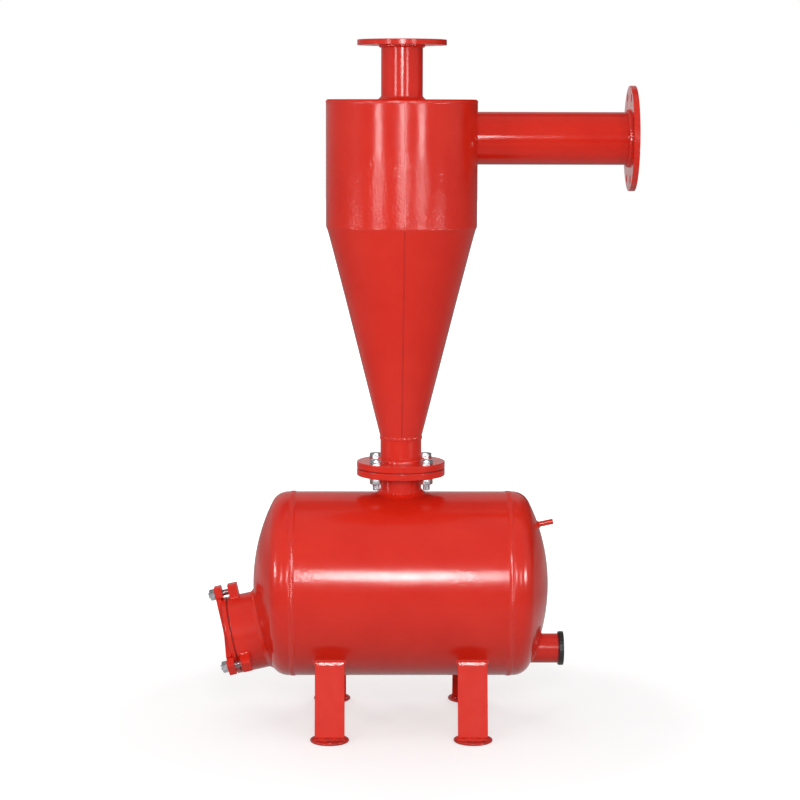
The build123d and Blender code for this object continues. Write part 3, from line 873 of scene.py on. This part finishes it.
shell_seam = straight_seam(
    "shell_seam_bead",
    SHELL_R * SEAM_SIDE + (CONE_TOP_Z + SEAM_FOOT_GAP) * UP,
    SHELL_R * SEAM_SIDE + (TOP_Z - SEAM_TOP_GAP) * UP,
    SEAM_SIDE, width=4 * MM, rise=0.25 * MM, seed=31,
)
red_weld_piece(shell_seam)
cone_seam = straight_seam(
    "cone_seam_bead",
    PIPE_R * SEAM_SIDE + CONE_BOTTOM_Z * UP,
    CONE_TOP_R * SEAM_SIDE + CONE_TOP_Z * UP,
    unit(SEAM_SIDE - CONE_SLOPE * UP), width=3.4 * MM, rise=0.35 * MM, seed=32,
)
# The cone's seam bead wears the deeper red of painted shade.
piece(cone_seam, "red_paint", red_seam_painted_shade)

# Legs and feet

LEG_CORNER_POWER = 8
PAD_TILT = np.radians(19.5)
PAD_DROP = 3.5 * MM
PAD_LIFT = 0.4 * MM
FOOT_RIM = 2.9 * MM
FOOT_RIM_LIFT = 0.6 * MM
FOOT_DISH_R = 35.0 * MM
FOOT_DISH_Z = FOOT_THICK - 0.8 * MM
FOOT_RIM_ROWS, FOOT_DISH_ROWS = 9, 7
LEG_SEED, PAD_SEED = 40, 90


def bar_outline(count):
    """Points around the leg's section with their normals, evenly spaced along its four sides."""
    half_w, half_t = LEG_WIDTH / 2, LEG_THICK / 2
    around = 2 * (LEG_WIDTH + LEG_THICK)
    run = np.arange(count) * around / count
    corners = np.cumsum([0.0, LEG_WIDTH, LEG_THICK, LEG_WIDTH, LEG_THICK])
    u = np.interp(run, corners, [-half_w, half_w, half_w, -half_w, -half_w])
    v = np.interp(run, corners, [-half_t, -half_t, half_t, half_t, -half_t])
    normal_u = np.sign(u) * np.abs(u / half_w) ** LEG_CORNER_POWER / half_w
    normal_v = np.sign(v) * np.abs(v / half_t) ** LEG_CORNER_POWER / half_t
    normals = unit(np.stack([normal_u, normal_v], axis=-1))
    return u, v, normals


def leg_axes(side):
    """Up along a leg's bar from its foot, and out square to its broad face."""
    lean = np.array([0.0, -side * np.sin(LEG_SPLAY), np.cos(LEG_SPLAY)])
    flat = np.array([0.0, side * np.cos(LEG_SPLAY), np.sin(LEG_SPLAY)])
    return lean, flat


def up_to_tank(base, lean):
    """Where the lines from base points along the lean meet the tank's cylinder.

    With r a point's offset from the tank's axis, square to it, the reach is the smaller root of
    reach^2 + 2 (r . lean) reach + r^2 - R^2 = 0.
    """
    rel = base - TANK_Z * UP
    b = rel[..., 1] * lean[1] + rel[..., 2] * lean[2]
    c = rel[..., 1] ** 2 + rel[..., 2] ** 2 - TANK_R**2
    reach = -b - np.sqrt(b**2 - c)
    return base + reach[..., None] * lean


def leg_beads(x, side, seed):
    """Beads around a leg's bar: on the tank above and on the foot below."""
    lean, flat = leg_axes(side)
    u, v, normals = bar_outline(points_for(2 * (LEG_WIDTH + LEG_THICK)))
    base = np.array([x, side * LEG_FOOT_Y, FOOT_THICK]) + u[:, None] * RIGHT + v[:, None] * flat
    bar_normal = normals[:, :1] * RIGHT + normals[:, 1:] * flat
    top = up_to_tank(base, lean)
    foot = base - (base[:, 2:] - FOOT_THICK) / lean[2] * lean
    return (
        corner_bead(
            "top", top, bar_normal, tank_normal(top), leg=4.5 * MM, seed=seed, bulge=0.1,
            pitch=5 * MM, ripple=0.5 * MM,
        ),
        corner_bead(
            "foot", foot, bar_normal, np.broadcast_to(UP, foot.shape), leg=6 * MM,
            seed=seed + 1, bulge=0.05, pitch=5 * MM, ripple=0.8 * MM,
        ),
    )


def leg_pad(x, side, seed):
    """Broad bead across a leg's outer face, a few millimetres down from the tank."""
    lean, flat = leg_axes(side)
    face = np.array([x, side * LEG_FOOT_Y, FOOT_THICK]) + LEG_THICK / 2 * flat
    corner = up_to_tank(face, lean) - PAD_DROP * lean + PAD_LIFT * flat
    path = line_points(corner - LEG_WIDTH / 2 * RIGHT, corner + LEG_WIDTH / 2 * RIGHT)
    facing = [0.0, side * np.cos(PAD_TILT), np.sin(PAD_TILT)]
    return weld_bead(
        "pad", path, np.broadcast_to(facing, path.shape), width=12 * MM, rise=0.3 * MM,
        root=2.5 * MM, ripple=0.2 * MM, seed=seed, closed=False, pitch=4.6 * MM,
    )


def foot_profile():
    """Pressed foot: flat below, a rolled half-round rim, and a shallow dish inside it.

    The rim is a half circle of radius FOOT_RIM about the outer edge. The dish falls from its
    crown as half a cosine wave to the plate's own top.
    """
    arc = np.linspace(-np.pi / 2, np.pi / 2, FOOT_RIM_ROWS)
    middle_r, middle_z = FOOT_R - FOOT_RIM, FOOT_RIM + FOOT_RIM_LIFT
    rim = np.stack([middle_r + FOOT_RIM * np.cos(arc), middle_z + FOOT_RIM * np.sin(arc)], axis=-1)
    share = np.linspace(0.0, 1.0, FOOT_DISH_ROWS)[1:]
    slope_r = middle_r + (FOOT_DISH_R - middle_r) * share
    crown_z = middle_z + FOOT_RIM
    slope_z = FOOT_DISH_Z + (crown_z - FOOT_DISH_Z) * (1 + np.cos(np.pi * share)) / 2
    slope = np.stack([slope_r, slope_z], axis=-1)
    return np.vstack([[[0.0, 0.0], [middle_r, 0.0]], rim, slope, [[0.0, FOOT_DISH_Z]]])


for row, (side, where) in enumerate(((-1, "front"), (1, "rear"))):
    for count, (x, hand) in enumerate(((-LEG_X, "left"), (LEG_X, "right"))):
        label = f"{where}_{hand}"
        top_bead, foot_bead = leg_beads(x, side, LEG_SEED + 4 * row + 2 * count)
        pad = leg_pad(x, side, PAD_SEED + 2 * row + count)
        red_weld_piece(joined(f"leg_top_bead_{label}", [top_bead, pad]))
        disc = turned("disc", (x, side * LEG_FOOT_Y, 0.0), UP, foot_profile())
        foot = joined(f"foot_plate_{label}", [disc, foot_bead])
        piece(foot, "red_paint", red_foot_painted_shade, f"foot_{label}")

# Welds of the handhole's lugs

LUG_SEED = 60


def lug_beads():
    """Two short beads beside each lug, along the neck."""
    half = LUG_WIDTH / 2
    drop = np.sqrt(HANDHOLE_R**2 - half**2)
    meshes = []
    for number, turn in enumerate(LUG_TURNS):
        facing = np.cos(turn) * HANDHOLE_UP + np.sin(turn) * BACK
        beside = np.cos(turn) * BACK - np.sin(turn) * HANDHOLE_UP
        for hand in (-1, 1):
            offset = drop * facing + hand * half * beside
            at = HANDHOLE_AT + offset
            path = line_points(at + NECK_LUG_START * HANDHOLE_OUT, at + NECK_LUG_END * HANDHOLE_OUT)
            neck_normal = np.broadcast_to(unit(offset), path.shape)
            lug_normal = np.broadcast_to(hand * beside, path.shape)
            seed = LUG_SEED + 2 * number + hand
            meshes.append(
                corner_bead("lug", path, neck_normal, lug_normal, 4 * MM, seed, closed=False)
            )
    return joined("lug_beads", meshes)


red_weld_piece(lug_beads())

# Bolts, nuts and studs

BOLT_R, BOLT_FLATS = 8 * MM, 24 * MM
BOLT_SHANK_R = 0.985 * BOLT_R
BOLT_THREAD, STUD_THREAD = 1.0 * MM, 0.9 * MM
STUD_R, STUD_FLATS = 7 * MM, 22 * MM
STUD_NUT = 12 * MM
STUD_ROOT = 1 * MM
CORNER_SPARE = 0.2 * MM
CORNER_CUT = np.radians(26)
FACE_SHARE, COLLAR_SHARE = 0.96, 0.94
COLLAR = 0.4 * MM
BORE_EASE = 0.6 * MM
THREAD_PITCH = 2.0 * MM
THREAD_STEPS, THREAD_COLUMNS = 8, 40
TIP_CUT = 1.6
CORE_SHARE = 0.2
ON_EDGE = 1e-6


def hex_factor(flats):
    """Radius factor that cuts a circle to a hexagon, limited by the profile's own radius.

    The hexagon's radius at angle t is half the flats over the cosine of the angle from the
    nearest flat's middle, and the result is the smaller of that and the profile's radius where
    the profile is wider than half the flats.
    """

    def factor(angles, profile):
        fold = (angles + np.pi / 6) % (np.pi / 3) - np.pi / 6
        hexagon = flats / 2 / np.cos(fold)
        radii = profile[:, 0][:, None] * np.ones(len(angles))
        return np.where(radii > flats / 2 - ON_EDGE, np.minimum(radii, hexagon), radii)

    return factor


def chamfered_block(flats, low, high, both):
    """Outer profile of a hexagonal block whose corners are turned off at one or both ends."""
    across_corners = flats / np.sqrt(3) + CORNER_SPARE
    inner = FACE_SHARE * flats / 2
    drop = (across_corners - inner) * np.tan(CORNER_CUT)
    top = [(across_corners, high - drop), (inner, high)]
    bottom = [(inner, low), (across_corners, low + drop)] if both else [(across_corners, low)]
    return bottom + [(across_corners, (low + high) / 2)] + top


def threaded(name, centre, axis, radius, low, high, depth):
    """Threaded rod with turned-off tips: radius less depth * triangle(z / pitch - t / turn)."""
    count = int((high - low) / THREAD_PITCH * THREAD_STEPS)
    z = np.linspace(low, high, count)
    tip = np.minimum(z - low, high - z)
    outer = np.minimum(radius, radius - TIP_CUT * depth + tip)
    profile = np.vstack([[0.0, low], np.stack([outer, z], axis=-1), [0.0, high]])

    def factor(angles, rows):
        phase = (rows[:, 1][:, None] / THREAD_PITCH - angles / TURN) % 1.0
        groove = depth * np.abs(2 * phase - 1)
        radii = rows[:, 0][:, None] - groove
        return np.where(rows[:, 0][:, None] > 0, np.maximum(radii, CORE_SHARE * radius), 0.0)

    return turned(name, centre, axis, profile, factor, steps=THREAD_COLUMNS)


def hex_nut(centre, axis, flats, bore, low, high):
    """Hexagonal ring with its corners turned off on both faces."""
    outer = chamfered_block(flats, low, high, True)
    inner = [
        (bore + BORE_EASE, high), (bore, high - BORE_EASE), (bore, low + BORE_EASE),
        (bore + BORE_EASE, low),
    ]
    return turned("nut", centre, axis, outer + inner, hex_factor(flats), closed=True)


def hex_bolt(centre, axis, flats, radius, low, under, high):
    """Headed bolt: plain shank up to the head, head with its corners turned off on top."""
    collar_r = COLLAR_SHARE * flats / 2
    profile = [(0.0, low), (radius, low), (radius, under), (collar_r, under)]
    profile += [(collar_r, under + COLLAR)]
    profile += chamfered_block(flats, under + COLLAR, high, False) + [(0.0, high)]
    return turned("bolt", centre, axis, profile, hex_factor(flats))


bolt_low, bolt_high = span("joint_bolts")
nut_low, nut_high = span("joint_nuts")

bolts, bolt_nuts = [], []
for turn in BOLT_TURNS:
    at = (BOLT_CIRCLE_R * np.cos(turn), BOLT_CIRCLE_R * np.sin(turn), 0.0)
    bolts += [
        hex_bolt(at, UP, BOLT_FLATS, BOLT_SHANK_R, nut_low[2], UPPER_TOP_Z, bolt_high[2]),
        threaded("thread", at, UP, BOLT_R, bolt_low[2], nut_high[2], BOLT_THREAD),
    ]
    bolt_nuts.append(hex_nut(at, UP, BOLT_FLATS, BOLT_R, nut_low[2], nut_high[2]))

studs, stud_nuts = [], []
for turn in LUG_TURNS:
    at = HANDHOLE_AT + LUG_BOLT_R * (np.cos(turn) * HANDHOLE_UP + np.sin(turn) * BACK)
    start = NECK_LUG_END - STUD_ROOT
    studs.append(threaded("stud", at, HANDHOLE_OUT, STUD_R, start, STUD_END, STUD_THREAD))
    nut_end = COVER_LUG_END + STUD_NUT
    stud_nuts.append(hex_nut(at, HANDHOLE_OUT, STUD_FLATS, STUD_R, COVER_LUG_END, nut_end))

for name, meshes, node in (
    ("flange_bolts", bolts, "joint_bolts"),
    ("flange_nuts", bolt_nuts, "joint_nuts"),
    ("cover_studs", studs, "handhole_studs"),
    ("cover_nuts", stud_nuts, "handhole_nuts"),
):
    piece(joined(name, meshes), "zinc_steel", zinc, node)

# Drain cap with a grooved rim

cap_low, cap_high = span("drain_cap")
CAP_R = (cap_high[2] - cap_low[2]) / 2
CAP_BORE_R = DRAIN_R + 0.2 * MM
CAP_EASE = 1.6 * MM
CAP_WALL = 4 * MM
CAP_LIP, CAP_DISH_R, CAP_DISH = 6 * MM, CAP_R - 7.5 * MM, 1.2 * MM
CAP_GROOVES = 36
CAP_GROOVE = 0.5 * MM
GROOVE_STEPS = 8


def cap_mesh():
    """Cap turned about the drain's axis; the rim is grooved by |sin| of half the groove angle."""
    low, high = cap_low[0], cap_high[0]
    profile = [
        (0.0, high - CAP_WALL), (CAP_BORE_R, high - CAP_WALL), (CAP_BORE_R, low),
        (CAP_R - CAP_EASE, low), (CAP_R, low + CAP_EASE), (CAP_R, (low + high) / 2),
        (CAP_R, high - CAP_EASE), (CAP_R - CAP_EASE / 3, high - CAP_EASE / 3),
        (CAP_R - CAP_EASE, high), (CAP_R - CAP_LIP, high), (CAP_DISH_R, high - CAP_DISH),
        (0.0, high - CAP_DISH),
    ]

    def factor(angles, rows):
        radii = rows[:, 0][:, None]
        groove = CAP_GROOVE * (1 - np.abs(np.sin(CAP_GROOVES / 2 * angles)))
        return radii - np.where(radii > CAP_R - ON_EDGE, groove, 0.0)

    return turned(
        "drain_cap_moulding", (0.0, 0.0, DRAIN_Z), RIGHT, profile, factor,
        steps=CAP_GROOVES * GROOVE_STEPS,
    )


piece(cap_mesh(), "black_cap", cap_black, "drain_cap")

# Floor

FLOOR_REACH = 30.0
FLOOR_ROWS, FLOOR_STEPS = 4, 64
FLOOR_BOUNCE = 0.4
FLOOR_SHADOW = 0.58
FLOOR_EVEN = 0.52
FLOOR_FADE = (0.6, 1.5)
FLOOR_GLOSS = (0.45, 0.0)


def white_share(tree, distance):
    """How much of the white shows: all to camera and glass, and less to gloss further out."""
    path = tree.nodes.new("ShaderNodeLightPath").outputs
    nearness = add_range(tree, distance, FLOOR_FADE, FLOOR_GLOSS)
    share = add_math(tree, "MULTIPLY", path["Is Glossy Ray"], nearness)
    for name in ("Is Camera Ray", "Is Transmission Ray"):
        share = add_math(tree, "MAXIMUM", share, path[name])
    return share


def matt_grey(tree, level):
    """A plain matt grey."""
    return add_node(tree, "BsdfDiffuse", "BSDF", Color=(level, level, level, 1.0))


def pale_floor():
    """White floor that keeps the object's shadow: a lit part over an even white part."""
    material = bpy.data.materials.new("pale_floor")
    tree = empty_tree(material)
    from_middle = tree.nodes.new("ShaderNodeVectorMath")
    from_middle.operation = "LENGTH"
    tree.links.new(add_node(tree, "TexCoord", "Object"), from_middle.inputs[0])
    distance = from_middle.outputs["Value"]
    glow = add_range(tree, distance, FLOOR_FADE, (FLOOR_EVEN, 1.0))
    even = add_node(tree, "Emission", "Emission", Strength=glow)
    shown = add_shader_pair(tree, "Add", matt_grey(tree, FLOOR_SHADOW), even)
    bounce = matt_grey(tree, FLOOR_BOUNCE)
    surface = add_shader_pair(tree, "Mix", bounce, shown, Fac=white_share(tree, distance))
    output = tree.nodes.new("ShaderNodeOutputMaterial")
    tree.links.new(surface, output.inputs["Surface"])
    return material


floor_angles = np.arange(FLOOR_STEPS) * TURN / FLOOR_STEPS
floor_radii = np.linspace(0.0, FLOOR_REACH, FLOOR_ROWS)
floor_grid = np.stack(
    [
        np.outer(floor_radii, np.cos(floor_angles)),
        np.outer(floor_radii, np.sin(floor_angles)),
        np.zeros((FLOOR_ROWS, FLOOR_STEPS)),
    ],
    axis=-1,
)
floor_mesh = mesh_from_grid("floor", floor_grid, False)
floor_mesh.materials.append(pale_floor())
floor = placed("floor", floor_mesh)

# Room: white to camera and glass, and an even level on matt surfaces. Gloss shows it by
# direction: white straight behind the part as the camera sees it, a pale wall around the camera,
# a pale screen behind with a grey panel in its middle and a darker gap over it, and a darker
# wall to the right than to the left. Each edge is a pair of limits of one part of a direction,
# and a pair from high to low keeps the side below it.

AMBIENT = 0.58
ROOM_FRONT, ROOM_BEHIND = 0.52, 0.38
ROOM_LEFT, ROOM_RIGHT = 0.34, 0.04
ROOM_TOP, ROOM_GAP = 0.42, 0.14
WALL_TURN = (-0.20, 0.12)
GAP_FOOT, CEILING_FOOT = (0.66, 0.74), (0.88, 0.97)
SCREEN_LEFT, SCREEN_RIGHT, SCREEN_FOOT = (-0.60, -0.30), (0.45, 0.20), (0.08, 0.24)
PANEL_LEFT, PANEL_RIGHT, PANEL_TOP = (-0.16, -0.08), (0.16, 0.08), (0.47, 0.42)
BACK_EDGE = (-0.10, 0.45)
STRAIGHT_BEHIND = (0.990, 0.998)

world = bpy.data.worlds.new("white_room")
bpy.context.scene.world = world
sky = empty_tree(world)


def edge_of(value, limits):
    """A soft step of a value from nought to one between two limits."""
    step = add_range(sky, value, limits, WHOLE)
    step.node.interpolation_type = "SMOOTHSTEP"
    return step


def all_of(first, *others):
    """The product of several shares."""
    for other in others:
        first = add_math(sky, "MULTIPLY", first, other)
    return first


def blend(share, first, second):
    """Two levels mixed by a share of the second."""
    return add_range(sky, share, WHOLE, (first, second))


def background(strength):
    """A white background of a given strength."""
    return add_node(sky, "Background", "Background", Color=WHITE, Strength=strength)


parts = sky.nodes.new("ShaderNodeSeparateXYZ")
sky.links.new(add_node(sky, "TexCoord", "Generated"), parts.inputs["Vector"])
to_x, to_y, to_z = (parts.outputs[name] for name in "XYZ")
walls = blend(edge_of(to_x, WALL_TURN), ROOM_LEFT, ROOM_RIGHT)
over = blend(edge_of(to_z, GAP_FOOT), ROOM_TOP, ROOM_GAP)
over = blend(edge_of(to_z, CEILING_FOOT), over, ROOM_FRONT)
screen = all_of(edge_of(to_x, SCREEN_LEFT), edge_of(to_x, SCREEN_RIGHT), edge_of(to_z, SCREEN_FOOT))
back = blend(screen, walls, over)
panel = all_of(edge_of(to_x, PANEL_LEFT), edge_of(to_x, PANEL_RIGHT), edge_of(to_z, PANEL_TOP))
back = blend(panel, back, ROOM_BEHIND)
gloss_level = blend(edge_of(to_y, BACK_EDGE), ROOM_FRONT, back)
gloss_level = blend(edge_of(to_y, STRAIGHT_BEHIND), gloss_level, 1.0)

rays = sky.nodes.new("ShaderNodeLightPath").outputs
surround = background(AMBIENT)
for ray, level in (
    ("Is Glossy Ray", gloss_level), ("Is Transmission Ray", 1.0), ("Is Camera Ray", 1.0)
):
    surround = add_shader_pair(sky, "Mix", surround, background(level), Fac=rays[ray])
sky_out = sky.nodes.new("ShaderNodeOutputWorld")
sky.links.new(surround, sky_out.inputs["Surface"])

# Lamps

# Name, azimuth in degrees from the front, distance, lower and upper edge, width, radiance,
# height of its aim, and the part of a surface that it lights
LAMPS = (
    ("left_strip", -35.0, 3.2, 0.88, 1.56, 0.48, 11.5, 1.2, "all"),
    ("middle_strip", 2.0, 3.2, 0.88, 1.56, 0.36, 9.0, 1.2, "all"),
    ("right_strip", 28.5, 3.2, 0.88, 1.56, 0.46, 11.0, 1.2, "all"),
    ("tank_window", 0.4, 4.4, 1.48, 2.22, 0.80, 26.0, 0.35, "all"),
    ("tank_window_wide", 0.4, 4.45, 1.46, 2.24, 1.05, 1.5, 0.35, "all"),
    ("low_left", -73.0, 1.8, 0.58, 0.84, 0.34, 24.0, 0.35, "gloss"),
    ("low_right", 56.0, 1.8, 0.58, 0.82, 0.34, 36.0, 0.35, "gloss"),
    ("fill_left", -72.0, 3.0, 0.3, 1.9, 0.9, 2.2, 0.9, "matt"),
    ("rear_left", -145.0, 3.2, 0.4, 2.0, 0.6, 4.0, 0.8, "matt"),
    ("rear_right", 150.0, 3.2, 0.4, 2.0, 0.6, 3.0, 0.8, "matt"),
)


def stand(item, at, right, up, back):
    """An object put at a point with its axes along three unit vectors."""
    axes = Matrix(np.column_stack([right, up, back]).tolist()).to_4x4()
    item.matrix_world = Matrix.Translation(at.tolist()) @ axes


def strip_light(name, azimuth, distance, low, high, width, radiance, aim_height, shines_on):
    """Upright area lamp at an azimuth from the front, turned to the cyclone's axis.

    Its power is pi * area * radiance. It shines on all of a surface, on its gloss alone or on
    its matt part alone.
    """
    lamp = bpy.data.lights.new(name, "AREA")
    lamp.shape = "RECTANGLE"
    lamp.size, lamp.size_y = width, high - low
    lamp.energy = np.pi * width * (high - low) * radiance
    item = placed(name, lamp)
    turn = np.radians(azimuth)
    at = np.array([distance * np.sin(turn), -distance * np.cos(turn), (low + high) / 2])
    back = unit(at - aim_height * UP)
    right = unit(np.cross(UP, back))
    stand(item, at, right, np.cross(back, right), back)
    item.visible_camera = False
    item.visible_glossy = shines_on in ("all", "gloss")
    item.visible_diffuse = shines_on in ("all", "matt")


for lamp in LAMPS:
    strip_light(*lamp)

# Camera

CAMERA_AT = np.array([-71.5, -5196.4, 1335.7]) * MM
PITCH_DOWN, YAW, ROLL = 0.12049, 0.01332, -0.00275
FOCAL_PIXELS = 2423.0
IMAGE_PIXELS = 800.0
SENSOR_WIDTH = 36.0
SIGHT_END = 200.0

forward = np.array(
    [np.sin(YAW) * np.cos(PITCH_DOWN), np.cos(YAW) * np.cos(PITCH_DOWN), -np.sin(PITCH_DOWN)]
)
level = np.array([np.cos(YAW), -np.sin(YAW), 0.0])
upright = np.cross(level, forward)
right = np.cos(ROLL) * level - np.sin(ROLL) * upright
above = np.sin(ROLL) * level + np.cos(ROLL) * upright

camera_data = bpy.data.cameras.new("camera")
camera_data.sensor_width = SENSOR_WIDTH
camera_data.lens = FOCAL_PIXELS / IMAGE_PIXELS * SENSOR_WIDTH
camera_data.clip_end = SIGHT_END
camera = placed("camera", camera_data)
stand(camera, CAMERA_AT, right, above, -forward)
bpy.context.scene.camera = camera
bpy.context.scene.view_settings.view_transform = "Standard"
